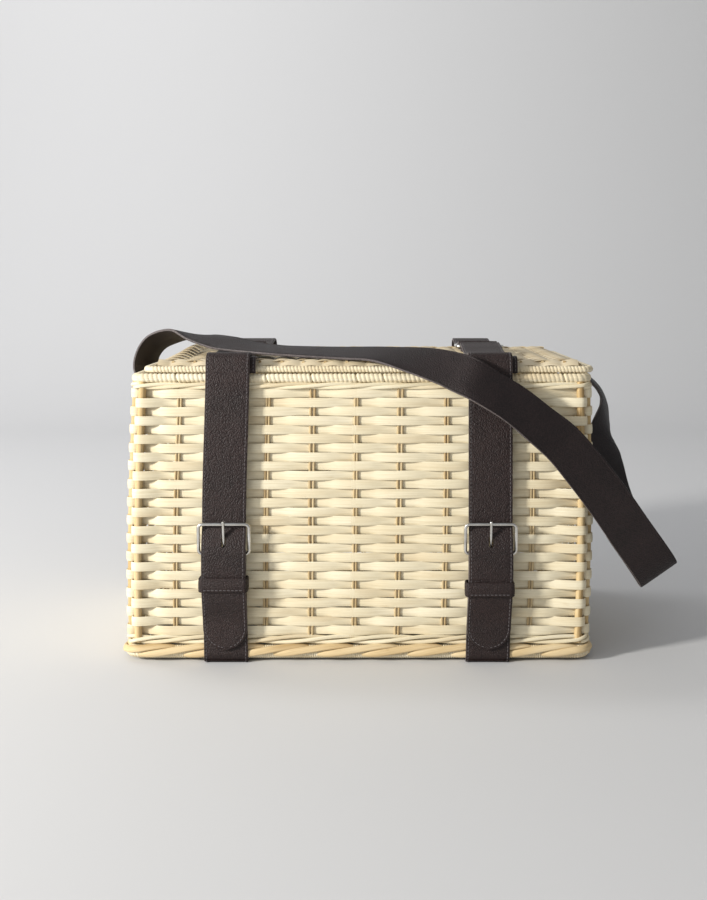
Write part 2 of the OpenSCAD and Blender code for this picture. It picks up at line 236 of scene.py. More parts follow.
def smooth_path(points, step):
    """A Catmull-Rom curve through points, resampled at about the given step."""
    p = np.asarray(points, float)
    q = np.concatenate([[2 * p[0] - p[1]], p, [2 * p[-1] - p[-2]]])
    out = []
    for i in range(1, len(q) - 2):
        a, b, c, d = q[i - 1], q[i], q[i + 1], q[i + 2]
        count = max(2, int(np.linalg.norm(c - b) / (step / 4)))
        t = np.linspace(0, 1, count, endpoint=False)[:, None]
        out.append(0.5 * (2 * b + (c - a) * t + (2 * a - 5 * b + 4 * c - d) * t ** 2
                          + (3 * b - a - 3 * c + d) * t ** 3))
    out.append(p[-1:])
    fine = np.concatenate(out)
    lengths = distances(fine[:, :3])
    count = max(3, int(round(lengths[-1] / step)) + 1)
    return resample(np.linspace(0, lengths[-1], count), lengths, fine)


# ---- the line round the body ----

def loop_length(hx, hy, r):
    return 4 * (hx - r) + 4 * (hy - r) + TAU * r


def loop_at(s, hx, hy, r):
    """Points and outward normals at distances s round a rectangle with round corners, from the middle of
    its front, towards +X first."""
    s = np.mod(s, loop_length(hx, hy, r))
    arc = r * math.pi / 2
    lines = [((0, -hy), 0, hx - r), ((hx, -hy + r), 90, 2 * (hy - r)), ((hx - r, hy), 180, 2 * (hx - r)),
             ((-hx, hy - r), 270, 2 * (hy - r)), ((-hx + r, -hy), 0, hx - r)]
    point = np.zeros((len(s), 3))
    normal = np.zeros((len(s), 3))
    start = 0.0
    for number, (origin, heading, length) in enumerate(lines):
        dx, dy = math.cos(math.radians(heading)), math.sin(math.radians(heading))
        on = (s >= start) & (s <= start + length + 1e-9)
        d = s[on] - start
        point[on, 0] = origin[0] + d * dx
        point[on, 1] = origin[1] + d * dy
        normal[on, 0] = dy
        normal[on, 1] = -dx
        start += length
        if number == len(lines) - 1:
            break
        on = (s > start) & (s < start + arc)
        turn = math.radians(heading) + (s[on] - start) / r
        centre = (origin[0] + length * dx - r * dy, origin[1] + length * dy + r * dx)
        normal[on, 0] = np.sin(turn)
        normal[on, 1] = -np.cos(turn)
        point[on, 0] = centre[0] + r * normal[on, 0]
        point[on, 1] = centre[1] + r * normal[on, 1]
        start += arc
    return point, normal


LOOP = loop_length(HALF_X, HALF_Y, CORNER)
FRONT_HALF = HALF_X - CORNER
ARC = CORNER * math.pi / 2
END_WALL = 2 * (HALF_Y - CORNER)


# How far each front stake stands from its even place, and how much it leans, from the left.
STAKE_OFF = np.array([-5.2, -4.6, -4.2, -3.6, -3.8, -4.6, -2.4, -3.6, -4.8]) * MM
STAKE_TILT = np.array([0.6, -0.5, -0.9, -1.6, -0.6, 0.9, 1.0, 0.4, 0.8]) * MM


def stake_lean(z):
    """How far the front stakes stand from their even places at height z."""
    return STAKE_OFF + STAKE_TILT * (z / WEAVE_HIGH - 0.5)


def stake_places(z):
    """Distances round the wall of all 36 stakes and posts at height z, from the middle of the front."""
    long_x = np.arange(-LONG_STAKES, LONG_STAKES + 1) * STAKE_PITCH
    end_y = np.concatenate([[-POST_Y], np.arange(-END_STAKES, END_STAKES + 1) * STAKE_PITCH, [POST_Y]])
    front = long_x + stake_lean(z)
    right = FRONT_HALF + ARC + END_WALL / 2 + end_y
    back_middle = LOOP / 2
    back = np.concatenate([[back_middle - POST_X], back_middle + long_x, [back_middle + POST_X]])
    left = LOOP - right[::-1]
    return np.concatenate([front[LONG_STAKES:], [POST_X], right, back, left, [LOOP - POST_X],
                           LOOP + front[:LONG_STAKES]])


STAKES = len(stake_places(0.0))
SWING = np.array([POST_SWING if i in POSTS else STAKE_SWING for i in range(STAKES)])


def slump(path):
    """Moves the lower body a little to the left and fills out the end walls at mid height."""
    z = np.clip(path[:, 2] / WEAVE_HIGH, 0, 1)
    moved = path.copy()
    moved[:, 0] += -BASE_SHIFT * (1 - z) + path[:, 0] / HALF_X * END_BULGE * np.sin(math.pi * z)
    return moved


def wall_line(z, per_stake=10):
    """Distances s round the wall, with the place t counted in stakes and the weaving's swing at each."""
    places = stake_places(z)
    ring = np.concatenate([places, [places[0] + LOOP]])
    t = np.arange(STAKES * per_stake) / per_stake
    s = np.interp(t, np.arange(STAKES + 1), ring)
    swing = np.interp(t, np.arange(STAKES + 1), np.concatenate([SWING, SWING[:1]]))
    return s, t, swing


# ---- materials ----

def node_material(name):
    material = bpy.data.materials.new(name)
    material.use_nodes = True
    tree = material.node_tree
    shader = tree.nodes["Principled BSDF"]
    return material, tree, shader


def add(tree, kind, **settings):
    node = tree.nodes.new(kind)
    for key, value in settings.items():
        if key in node.inputs:
            node.inputs[key].default_value = value
        else:
            setattr(node, key, value)
    return node


def ramp(tree, source, stops):
    node = tree.nodes.new("ShaderNodeValToRGB")
    elements = node.color_ramp.elements
    while len(elements) < len(stops):
        elements.new(0.5)
    for element, (place, colour) in zip(elements, stops):
        element.position = place
        element.color = (*colour, 1)
    tree.links.new(source, node.inputs["Fac"])
    return node.outputs["Color"]


def mix(tree, kind, amount, a, b):
    node = tree.nodes.new("ShaderNodeMix")
    node.data_type = "RGBA"
    node.blend_type = kind
    if isinstance(amount, float):
        node.inputs[0].default_value = amount
    else:
        tree.links.new(amount, node.inputs[0])
    for socket, value in ((node.inputs[6], a), (node.inputs[7], b)):
        if isinstance(value, tuple):
            socket.default_value = (*value, 1)
        else:
            tree.links.new(value, socket)
    return node.outputs[2]


def mapped(tree, source, scale):
    node = add(tree, "ShaderNodeMapping", Scale=scale)
    tree.links.new(source, node.inputs["Vector"])
    return node.outputs["Vector"]


def noise(tree, source, scale=1.0, detail=2.0, roughness=0.5, output="Fac"):
    node = add(tree, "ShaderNodeTexNoise", Scale=scale, Detail=detail, Roughness=roughness)
    tree.links.new(source, node.inputs["Vector"])
    return node.outputs[output]


def ranged(tree, source, low, high, start=0.0, end=1.0):
    """Carries the source from the range start to end into the range low to high."""
    node = add(tree, "ShaderNodeMapRange")
    for name, value in (("From Min", start), ("From Max", end), ("To Min", low), ("To Max", high)):
        node.inputs[name].default_value = value
    tree.links.new(source, node.inputs["Value"])
    return node.outputs["Result"]


def bump(tree, shader, height, strength, distance, invert=False):
    node = add(tree, "ShaderNodeBump", Strength=strength, Distance=distance, invert=invert)
    tree.links.new(height, node.inputs["Height"])
    tree.links.new(node.outputs["Normal"], shader.inputs["Normal"])


def cane_material(name, light, middle, dark, spots=0.25):
    """Split cane: colour that changes from strand to strand and along each, long fine fibres, and a few
    brown marks."""
    material, tree, shader = node_material(name)
    run = add(tree, "ShaderNodeAttribute", attribute_name="run").outputs["Vector"]
    tone = noise(tree, mapped(tree, run, (9, 40, 7.3)))
    fibre = noise(tree, mapped(tree, run, (28, 1500, 11.7)), 1.0, 4.0, 0.65)
    marks = noise(tree, mapped(tree, run, (55, 160, 3.1)), 1.0, 3.0, 0.6)
    base = ramp(tree, tone, [(0.3, dark), (0.47, middle), (0.66, light)])
    fibre_colour = ramp(tree, fibre, [(0.32, (0.72, 0.66, 0.55)), (0.58, (1, 1, 1))])
    mark_colour = ramp(tree, marks, [(0.66, (1, 1, 1)), (0.78, (0.66, 0.5, 0.3))])
    coloured = mix(tree, "MULTIPLY", 0.55, base, fibre_colour)
    tree.links.new(mix(tree, "MULTIPLY", spots, coloured, mark_colour), shader.inputs["Base Color"])
    tree.links.new(ranged(tree, fibre, 0.42, 0.72), shader.inputs["Roughness"])
    bump(tree, shader, fibre, 0.5, 0.25 * MM)
    shader.inputs["Specular IOR Level"].default_value = 0.35
    return material


def leather_material(name, colour, pebble=0.55):
    """Pebbled leather: small rounded cells, creases between them, faint wear in the colour, painted shade
    in the creases and a painted highlight on each cell's top.
    """
    material, tree, shader = node_material(name)
    link = tree.links.new
    place = add(tree, "ShaderNodeTexCoord").outputs["Object"]
    bent = add(tree, "ShaderNodeVectorMath", operation="SCALE")
    link(noise(tree, place, 160.0, output="Color"), bent.inputs[0])
    bent.inputs["Scale"].default_value = 0.0012
    moved = add(tree, "ShaderNodeVectorMath", operation="ADD")
    link(place, moved.inputs[0])
    link(bent.outputs["Vector"], moved.inputs[1])
    cells = add(tree, "ShaderNodeTexVoronoi", feature="SMOOTH_F1", Scale=860.0, Smoothness=0.3)
    link(moved.outputs["Vector"], cells.inputs["Vector"])
    height = add(tree, "ShaderNodeMath", operation="MULTIPLY_ADD")
    link(noise(tree, place, 2600.0), height.inputs[0])
    height.inputs[1].default_value = 0.12
    link(cells.outputs["Distance"], height.inputs[2])
    wear = noise(tree, place, 38.0, 4.0, 0.6)
    worn = ramp(tree, wear, [(0.3, tuple(c * 0.8 for c in colour)), (0.7, tuple(c * 1.3 for c in colour))])
    # Painted shade and highlight: the colour is darkened in the creases between the cells and brightened on
    # the cells' tops.
    crease = ramp(tree, cells.outputs["Distance"], [(0.2, (1.35, 1.35, 1.35)), (0.7, (0.5, 0.5, 0.5))])
    link(mix(tree, "MULTIPLY", 0.8, worn, crease), shader.inputs["Base Color"])
    link(ranged(tree, wear, 0.42, 0.6), shader.inputs["Roughness"])
    bump(tree, shader, height.outputs["Value"], pebble, 0.7 * MM, True)
    shader.inputs["Specular IOR Level"].default_value = 0.34
    return material


def thread_material():
    """Dark waxed thread, mottled along its twist."""
    material, tree, shader = node_material("thread")
    run = add(tree, "ShaderNodeAttribute", attribute_name="run").outputs["Vector"]
    twist = noise(tree, mapped(tree, run, (2400, 900, 1)))
    colour = ramp(tree, twist, [(0.3, (0.06, 0.052, 0.054)), (0.7, (0.15, 0.135, 0.138))])
    tree.links.new(colour, shader.inputs["Base Color"])
    shader.inputs["Roughness"].default_value = 0.6
    return material


def nickel_material():
    """Polished nickel wire with a little brushing and a few duller places."""
    material, tree, shader = node_material("polished_nickel")
    cloud = noise(tree, add(tree, "ShaderNodeTexCoord").outputs["Object"], 140.0, 3.0)
    colour = ramp(tree, cloud, [(0.35, (0.62, 0.60, 0.56)), (0.65, (0.78, 0.77, 0.74))])
    tree.links.new(colour, shader.inputs["Base Color"])
    tree.links.new(ranged(tree, cloud, 0.12, 0.28), shader.inputs["Roughness"])
    shader.inputs["Metallic"].default_value = 1.0
    return material


CANE = cane_material("pale_cane", (0.87, 0.79, 0.59), (0.82, 0.73, 0.52), (0.74, 0.62, 0.41))
WRAP = cane_material("wrapping_cane", (0.88, 0.80, 0.62), (0.82, 0.72, 0.51), (0.70, 0.58, 0.38), 0.15)
# The lid's cane is the pale cane made darker and greyer: painted shade for the lid's top, which the low key
# light barely reaches.
SHADED_LID_CANE = cane_material("lid_cane_painted_shade", (0.74, 0.64, 0.46), (0.66, 0.56, 0.38), (0.54, 0.44, 0.29), 0.15)
TAN_CANE = cane_material("tan_cane", (0.77, 0.62, 0.38), (0.70, 0.53, 0.29), (0.52, 0.36, 0.17), 0.5)
# The thin rods' cane is made darker than the strips: painted shade standing for the shadowed slits beside
# the rods.
SHADED_CORE_CANE = cane_material("core_cane_painted_shade", (0.62, 0.49, 0.29), (0.54, 0.41, 0.22), (0.42, 0.29, 0.14), 0.3)
# The corner posts: brownish tan cane, darkened further by painted shade for the posts' shaded sides.
SHADED_POST_CANE = cane_material("post_cane_painted_shade", (0.70, 0.54, 0.30), (0.62, 0.45, 0.22), (0.45, 0.30, 0.13), 0.5)
LEATHER = leather_material("brown_leather", (0.0225, 0.0120, 0.0108), 0.95)
# The shoulder strap's leather is the belts' leather made darker: painted shade for the strap turned away
# from the key light.
SHADED_STRAP_LEATHER = leather_material("strap_leather", (0.0150, 0.0085, 0.0080), 0.7)
EDGE = leather_material("painted_edge", (0.11, 0.093, 0.092), 0.15)
THREAD = thread_material()
NICKEL = nickel_material()


def cane_piece(mesh, name, body, nodes, material, crease=40):
    piece = mesh.finish(name, [material], crease)
    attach(piece, body)
    if nodes:
        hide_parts(*nodes)


# ---- woven walls ----

def round_body(mesh, path, section, strand):
    """Sweeps a closed strand round the body."""
    path = slump(path)
    out = unit(np.cross(tangents(path, closed=True), UP))
    mesh.sweep(path, out, UP, section, True, strand=strand)


def upright(mesh, s, heights, section, strand):
    """Sweeps a rod up the wall, at distances s round it."""
    point, normal = loop_at(s, HALF_X, HALF_Y, CORNER)
    point[:, 2] = heights
    path = slump(point)
    mesh.sweep(path, normal, unit(np.cross(tangents(path), normal)), section, False, strand=strand)


def woven_walls():
    """Flat cane strips in rows, each in turn outside a stake and inside the next."""
    mesh = Mesh()
    for row in range(ROWS):
        middle = WEAVE_LOW + (row + 0.5) * ROW_PITCH
        s, t, swing = wall_line(middle)
        point, normal = loop_at(s, HALF_X, HALF_Y, CORNER)
        front = np.cos(math.pi * (t + row))
        held = np.sign(front) * np.abs(front) ** 0.8
        path = point + normal * (held * swing + wander(s, LOOP, 0.12 * MM))[:, None]
        path[:, 2] = middle + wander(s, LOOP, 0.35 * MM, (1, 2, 4, 7, 11, 17))
        wide = 1 + 0.012 * front + wander(s, LOOP, 0.03, (5, 9, 13, 19))
        sections = np.repeat(strip_section(ROW_PITCH + 0.1 * MM, STRIP_T)[None], len(s), axis=0)
        sections[:, :, 1] *= wide[:, None]
        round_body(mesh, path, sections, row * 1.37)
    cane_piece(mesh, "woven_walls", "basket", ["outer_weavers", "inner_weavers"], CANE, 50)


def wall_rods():
    """The pairs of thin rods that the strips pass over and under."""
    mesh = Mesh()
    heights = np.linspace(16 * MM, WEAVE_HIGH + 4 * MM, 16)
    for index in range(STAKES):
        if index in POSTS:
            continue
        for side in (-1, 1):
            s = np.array([stake_places(z)[index] for z in heights]) + side * ROD_GAP
            s = s + RNG.uniform(-0.3, 0.3) * MM + RNG.uniform(-0.5, 0.5) * MM * heights / WEAVE_HIGH
            upright(mesh, s, heights, circle(ROD_R), 50 + index + side * 0.4)
    cane_piece(mesh, "wall_rods", "basket", ["side_stakes"], SHADED_CORE_CANE)


def corner_rods():
    """The stout posts, one on each side of every corner."""
    mesh = Mesh()
    heights = np.linspace(17 * MM, RIM_Z - 3 * MM, 24)
    for index in POSTS:
        s = np.full(len(heights), stake_places(0.1)[index])
        uneven = 1 + 0.03 * np.sin(heights / MM * 0.21 + index)
        section = circle(POST_R, 14)[None] * uneven[:, None, None]
        upright(mesh, s, heights, section, 120 + index)
    cane_piece(mesh, "corner_rods", "basket", ["corner_posts"], SHADED_POST_CANE)


def waling(name, low, high, node, strands=3, radius=1.5 * MM):
    """Three thin canes laid round the body together, each in turn outside two stakes and inside one."""
    mesh = Mesh()
    middle = (low + high) / 2
    rise = (high - low) / 2 - radius
    for strand in range(strands):
        s, t, _ = wall_line(middle, 8)
        point, normal = loop_at(s, HALF_X, HALF_Y, CORNER)
        phase = TAU * (t / strands + strand / strands)
        path = point + normal * ((1.2 + 2.2 * np.cos(phase)) * MM)[:, None]
        path[:, 2] = middle + rise * np.sin(phase) + wander(s, LOOP, 0.25 * MM, (7, 13, 19))
        round_body(mesh, path, circle(radius, 8, 1.15), 200 + strand * 3.1)
    cane_piece(mesh, name, "basket", [node], CANE)


# ---- wrapped rolls ----

def wrapped_roll(mesh, hx, hy, corner, centre, radius, pitch, notch_every, strand, depth=0.16, per_wrap=8,
                 sides=12, low=False):
    """A roll round the body, bound with cane: each turn is a small bead, with a deeper notch after every
    notch_every turns. A low roll stands with the body's foot."""
    length = loop_length(hx, hy, corner)
    wraps = int(round(length / pitch))
    count = wraps * per_wrap
    s = np.arange(count) * length / count
    turn = np.arange(count) / per_wrap
    point, normal = loop_at(s, hx, hy, corner)
    path = point + np.array(centre)
    path[:, 2] += wander(s, length, 0.2 * MM, (3, 5, 9, 17))
    angle = np.arange(sides) * TAU / sides
    lean = 0.25 * np.sin(angle)[None, :]
    u = turn[:, None] + lean
    jitter = RNG.uniform(0.9, 1.08, wraps + 2)
    size = jitter[np.mod(np.floor(u).astype(int), wraps)]
    bead = np.sqrt(np.abs(np.sin(math.pi * u)))
    scale = 1 - depth * (1 - bead) * size
    if notch_every:
        near = np.abs(np.mod(u, notch_every) - notch_every / 2)
        scale -= 0.24 * np.exp(-(near / 0.2) ** 2)
    section = np.stack([np.cos(angle)[None, :] * scale, np.sin(angle)[None, :] * scale], axis=2) * radius
    if low:
        path = slump(path)
    mesh.sweep(path, normal, UP, section, True, strand=strand)


def rim():
    mesh = Mesh()
    wrapped_roll(mesh, HALF_X, HALF_Y, CORNER + 2 * MM, (0, 0, RIM_Z), radius=4.35 * MM, pitch=4.1 * MM,
                 notch_every=10, strand=300)
    cane_piece(mesh, "rim_wrap", "basket", ["rim_border"], WRAP, 60)


def lid_edge():
    mesh = Mesh()
    hx = (LID_HIGH.x - LID_LOW.x) / 2 - 4 * MM
    wrapped_roll(mesh, hx, LID_Y, 9 * MM, (LID_X, 0, LID_ROLL_Z), radius=3.15 * MM, pitch=3.2 * MM,
                 notch_every=0, strand=310, depth=0.2)
    cane_piece(mesh, "lid_wrap", "lid", ["lid_border"], WRAP, 60)


def foot():
    """A fine-ribbed wrapped core with broad tan strands laid round it slantwise."""
    core_mesh, mesh = Mesh(), Mesh()
    centre_in = 3.6 * MM
    hx = WALL_OUT.x - centre_in
    hy = WALL_OUT.y - centre_in
    corner = 9 * MM
    core_z = 8.2 * MM
    core = 6.0 * MM
    wrapped_roll(core_mesh, hx, hy, corner, (0, 0, core_z), core, pitch=2.0 * MM, notch_every=0,
                 strand=320, depth=0.17, per_wrap=6, sides=14, low=True)
    cane_piece(core_mesh, "foot_core", "basket", [], WRAP, 60)
    length = loop_length(hx, hy, corner)
    starts = 3
    turns = 11
    span = length / turns * 0.6
    stations = 26
    inside = np.linspace(-0.5, 0.5, stations)
    width = (3.1 * np.sqrt(np.clip(1 - (1.85 * inside) ** 4, 0.05, 1))) * MM
    sizes = np.stack([np.full(stations, 1.3 * MM), width], axis=1)
    section = strip_section(2.0, 2.0)[None] * sizes[:, None, :]
    lift = core + (1.5 - 3.0 * (2 * inside) ** 4) * MM
    for start in range(starts):
        for piece in range(turns):
            centre_s = (piece + start / starts) * length / turns
            at = centre_s + inside * span + wander(inside, 1.0, 0.6 * MM, (1,))
            point, normal = loop_at(at, hx, hy, corner)
            turn = math.radians(74) - (0.5 - inside) * math.radians(RNG.uniform(86, 104))
            out = normal * np.cos(turn)[:, None] + UP[None] * np.sin(turn)[:, None]
            path = point + out * lift[:, None]
            path[:, 2] += core_z
            path = slump(path)
            across = unit(np.cross(tangents(path), out))
            mesh.sweep(path, out, across, section, False, strand=330 + start * 2.3 + piece * 0.61)
    cane_piece(mesh, "foot_braid", "basket", ["foot_border"], TAN_CANE, 60)


# ---- woven panels ----

def raised(x, y, bulge):
    """How far a panel rises at x from its left end and y: most near that end, and least at the front."""
    rise = np.clip((y + 115 * MM) / (120 * MM), 0, 1)
    return bulge * rise * np.exp(-((x - 17 * MM) / (14 * MM)) ** 2)


def panel(mesh, rods, low, high, middle, rib_pitch, strand, edge_drop, bulge):
    """Strips along X over and under ribs along Y. The strips' ends turn down by edge_drop, and the panel
    rises by bulge near its left end."""
    swing = 2.1 * MM
    end = 9 * MM
    half_x = (high.x - low.x) / 2
    half_y = (high.y - low.y) / 2
    cx = (high.x + low.x) / 2
    rows = int(2 * half_y / PANEL_STRIP)
    pitch = 2 * half_y / rows
    side = np.array([0, 1.0, 0])
    x = np.arange(-half_x, half_x + 1e-6, rib_pitch / 8)
    for row in range(rows):
        y = -half_y + (row + 0.5) * pitch
        phase = math.pi * (x / rib_pitch + row)
        path = np.stack([cx + x, np.full_like(x, y), middle + swing * np.cos(phase)], axis=1)
        path[:, 1] += wander(x, 4 * half_x, 0.3 * MM, (3, 5, 9))
        path[:, 2] -= edge_drop * np.clip((np.abs(x) - half_x + end) / end, 0, 1) ** 2
        path[:, 2] += raised(x + half_x, y, bulge)
        out = unit(np.cross(side, tangents(path))) * -1
        section = strip_section(pitch - 0.3 * MM, 1.2 * MM)
        mesh.sweep(path, out, side, section, False, strand=strand + row * 1.73)
    ribs = int(half_x / rib_pitch - 0.2)
    y = np.linspace(-half_y, half_y, 30)
    for i in range(-ribs, ribs + 1):
        path = np.stack([np.full_like(y, cx + i * rib_pitch), y, np.full_like(y, middle)], axis=1)
        path[:, 0] += wander(y, 4 * half_y, 0.4 * MM, (2, 5))
        path[:, 2] += raised(i * rib_pitch + half_x, y, bulge)
        rods.sweep(path, ACROSS_X, UP, circle(swing - 0.6 * MM, 8), False, strand=strand + 90 + i)


def lid_panel():
    """The lid's woven panel, with a strip along its front and rear edges."""
    mesh, rods = Mesh(), Mesh()
    low = Vector((PANEL_LOW.x - 1 * MM, PANEL_LOW.y + 0.5 * MM, 0))
    high = Vector((PANEL_HIGH.x + 1 * MM, PANEL_HIGH.y - 0.5 * MM, 0))
    panel(mesh, rods, low, high, PANEL_Z, LID_RIBS, 400, 6.5 * MM, 7 * MM)
    x = np.arange(-(high.x - low.x) / 2 + 4 * MM, (high.x - low.x) / 2 - 4 * MM, 1.25 * MM)
    for side in (-1, 1):
        crest = np.abs(np.sin(math.pi * x / LID_RIBS + 0.4))
        path = np.stack([LID_X + x, np.full_like(x, side * (PANEL_HIGH.y - 0.5 * MM)),
                         PANEL_Z - 1.9 * MM + 1.7 * MM * crest], axis=1)
        across = unit(np.array([0, -side * 0.84, 0.54]))
        out = np.cross(across, ACROSS_X) * side
        mesh.sweep(path, out, across, strip_section(9.5 * MM, 1.3 * MM), False, strand=480 + side)
    cane_piece(mesh, "woven_lid", "lid", ["lid_weave"], SHADED_LID_CANE, 50)
    cane_piece(rods, "lid_rods", "lid", ["lid_ribs"], SHADED_CORE_CANE)


def base_panel():
    mesh, rods = Mesh(), Mesh()
    panel(mesh, rods, BASE_LOW, BASE_HIGH, (BASE_LOW.z + BASE_HIGH.z) / 2, BASE_RIBS, 500, 0, 0)
    cane_piece(mesh, "woven_base", "basket", ["base_weave"], CANE, 50)
    low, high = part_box("base_battens")
    y = np.linspace(low.y, high.y, 40)
    z = (low.z + high.z) / 2
    for x in (-180 * MM, -60 * MM, 60 * MM, 180 * MM):
        path = np.stack([np.full_like(y, x), y, np.full_like(y, z)], axis=1)
        radius = 1.9 * MM * (1 + 0.05 * np.sin(y / MM * 0.17 + x * 100))
        section = circle(1.0, 12)[None] * radius[:, None, None]
        rods.sweep(path, ACROSS_X, UP, section, False, strand=560 + x * 50)
    cane_piece(rods, "base_rods", "basket", ["base_battens"], TAN_CANE)


# ---- leather ----

def stitch(mesh, place, along, up, length=2.5 * MM, radius=0.36 * MM):
    """One stitch: a short thread that rises from the leather and dips back in."""
    u = np.linspace(-1, 1, 7)
    rise = (0.12 - 0.5 * u ** 4) * MM
    path = place[None] + along[None] * (u * length / 2)[:, None] + up[None] * rise[:, None]
    side = np.cross(up, along)
    mesh.sweep(path, side, up, circle(radius, 6), False, slot=1)


def half_width(s, length, width, inset, round_start, round_end):
    """Half the band's width, less inset, at distance s along it, with half-round ends where asked."""
    half = np.full_like(s, width / 2 - inset)
    r = width / 2
    for wanted, d in ((round_start, s), (round_end, length - s)):
        if wanted:
            near = d < r
            inner = np.clip((r - inset) ** 2 - (r - d) ** 2, 0, None)
            half = np.where(near, np.minimum(half, np.sqrt(inner)), half)
    return half


def band(mesh, threads, path, across, width, thick, round_start=False, round_end=False, pitch=3.4 * MM,
         seam=2.2 * MM, stitch_from=0.0, stitch_to=None):
    """A leather band with softened edges and, unless threads is None, a row of stitches along each edge
    of its outer face."""
    path = np.asarray(path, float)
    steps = distances(path)
    length = steps[-1]
    along = tangents(path)
    across = np.broadcast_to(np.asarray(across, float), path.shape)
    across = unit(across - along * np.sum(across * along, axis=1, keepdims=True))
    up = np.cross(along, across)
    half = np.maximum(half_width(steps, length, width, 0, round_start, round_end), 0.9 * MM)
    t = thick / 2
    outline = [(0.0, 0.0), (0.3, 0.75), (0.9, 1.0), (1.9, 1.0), (seam / MM, 0.86), (3.4, 1.0), (7.0, 1.06)]
    right = [(o * MM, h * t) for o, h in outline]
    under = [(0.3 * MM, -0.75 * t), (0.9 * MM, -t)]
    fit = np.minimum(1.0, half / (8 * MM))

    def row(items, sign):
        return [np.stack([sign * (half - o * fit), np.full_like(half, h)], axis=1) for o, h in items]

    section = np.stack(row(right, 1) + row(right[::-1], -1) + row(under, -1) + row(under[::-1], 1), axis=1)
    narrow_sides = (section.shape[1] - 1, 0, 12, 13)
    mesh.sweep(path, across, up, section, False, rims=narrow_sides)
    if threads is None:
        return
    stitch_to = length if stitch_to is None else stitch_to
    for sign in (-1, 1):
        first = stitch_from + (seam if round_start else 2.5 * MM)
        last = stitch_to - (seam if round_end else 2.5 * MM)
        fine = np.arange(first, last, 0.25 * MM)
        v = sign * half_width(fine, length, width, seam, round_start, round_end)
        n = unit(resample(fine, steps, up))
        a = unit(resample(fine, steps, across))
        line = resample(fine, steps, path) + a * v[:, None] + n * (0.9 * t)
        walked = distances(line)
        for d in np.arange(pitch / 2, walked[-1], pitch):
            i = int(np.searchsorted(walked, d))
            j = min(i + 1, len(line) - 1)
            direction = line[j] - line[max(i - 1, 0)]
            if np.linalg.norm(direction) < 1e-9:
                continue
            direction = direction / np.linalg.norm(direction)
            lift = n[i] - direction * float(n[i] @ direction)
            stitch(threads, line[i], direction, lift / np.linalg.norm(lift))


def side_path(x, points, step=2.2 * MM):
    """A path in an upright plane at x through (y, z) points."""
    return smooth_path([(x, y, z) for y, z in points], step)


def arc_points(centre, radius, start, end, count=6):
    angles = np.radians(np.linspace(start, end, count))
    return [(centre[0] + radius * math.cos(a), centre[1] + radius * math.sin(a)) for a in angles]


def cut(piece, boxes):
    """Cuts round-cornered slots through a piece. Each box is (middle, size)."""
    for middle, size in boxes:
        half = Vector(size) / 2
        r = half.x * 0.98
        outline = []
        for sign, start in ((1, 0), (-1, 180)):
            for a in np.radians(np.linspace(start, start + 180, 9)):
                outline.append((r * math.cos(a), sign * (half.z - r) + r * math.sin(a)))
        verts = [(middle[0] + x, middle[1] + y, middle[2] + z)
                 for y in (-half.y, half.y) for x, z in outline]
        n = len(outline)
        faces = [list(range(n)), list(range(2 * n - 1, n - 1, -1))]
        faces += [[i, i + n, (i + 1) % n + n, (i + 1) % n] for i in range(n)]
        cutter = new_object("cutter", verts, faces)
        outwards(cutter)
        modifier = piece.modifiers.new("slot", "BOOLEAN")
        modifier.operation = "DIFFERENCE"
        modifier.solver = "EXACT"
        modifier.object = cutter
        with bpy.context.temp_override(object=piece, active_object=piece):
            bpy.ops.object.modifier_apply(modifier=modifier.name)
        bpy.data.objects.remove(cutter)


def sew(piece, threads):
    """Joins the stitches to their leather."""
    other = threads.finish(piece.name + "_thread", [LEATHER, THREAD, EDGE], 35)
    with bpy.context.temp_override(active_object=piece, object=piece, selected_objects=[piece, other],
                                   selected_editable_objects=[piece, other]):
        bpy.ops.object.join()


def leather_piece(mesh, threads, name, body, nodes, leather=LEATHER, slots=()):
    """Makes one leather piece. Its slots are cut before it is sewn, because a cut would take the stitches
    away. A piece that runs between two bodies is made with no body of its own."""
    piece = mesh.finish(name, [leather, THREAD, EDGE], 35)
    cut(piece, slots)
    if threads:
        sew(piece, threads)
    if body:
        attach(piece, body)
    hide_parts(*nodes)
    return piece


WIRE = 1.6 * MM                         # radius of the buckles' and rings' wire
FOLD_R = WIRE + BELT_T / 2 + 0.1 * MM   # middle of a belt folded round that wire
BILLET_OUT = HEEL.y - 5.5 * MM
TIP_Y = -(BELT_Y + BELT_T + 0.3 * MM)
TIP_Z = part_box("left_billet")[0].z
LEAN = {"left": (3.2 * MM, 1.8 * MM), "right": (0.0, -2.6 * MM)}
KEEPER_SHIFT = {"left": Vector((0, 0, 0)), "right": Vector((-1.2 * MM, 0, -4.0 * MM))}


def leaning(path, side):
    """Sets a belt slightly out of true: its top and its foot each a little to one side of the buckle."""
    top, foot = LEAN[side]
    z = path[:, 2]
    up = np.clip((z - HEEL.z - 30 * MM) / (BELT_TOP - HEEL.z - 30 * MM), 0, 1)
    down = np.clip((HEEL.z - 8 * MM - z) / (HEEL.z - 8 * MM), 0, 1)
    moved = path.copy()
    moved[:, 0] += top * up * up * (3 - 2 * up) + foot * down * down * (3 - 2 * down)
    return moved


